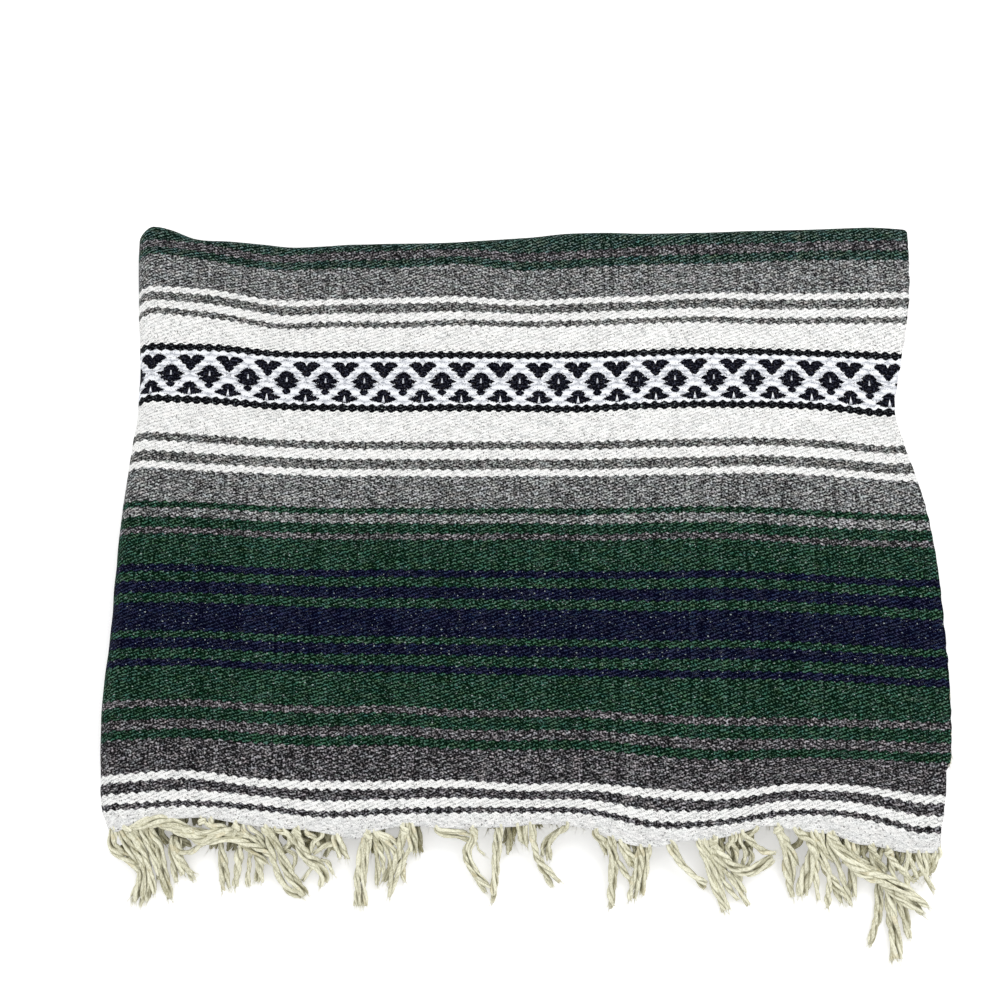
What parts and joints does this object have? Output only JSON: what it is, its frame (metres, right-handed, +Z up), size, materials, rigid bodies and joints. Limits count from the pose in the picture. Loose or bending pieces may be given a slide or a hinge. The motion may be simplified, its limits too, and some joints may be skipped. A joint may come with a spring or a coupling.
{
  "type": "folded serape blanket",
  "caption": "Folded Mexican falsa blanket, worn as a serape: striped weave with a diamond band, rolled folds at the left and back, layered edges and a knotted fringe.",
  "frame": {"origin": "middle of the whole footprint, fringe included, on the surface the pile lies on", "axes": "+Z up, +X along the weft to the selvedges, -Y towards the fringed hem"},
  "size_m": [0.652, 0.589, 0.0306],
  "materials": {
    "striped_cloth": "coarse weft-faced twill of matte yarn, in stripes of ivory, heathered grey, dark green and navy with a band of black diamonds",
    "inner_cloth": "the same cloth, seen only at the edges of the folded layers",
    "fringe_cotton": "cream plied cotton warp yarn, knotted, matte"
  },
  "bodies": {
    "root": {"outer_layer": "striped_cloth", "hidden_layers": "inner_cloth", "top_fringe": "fringe_cotton", "low_fringe": "fringe_cotton"}
  },
  "joints": []
}
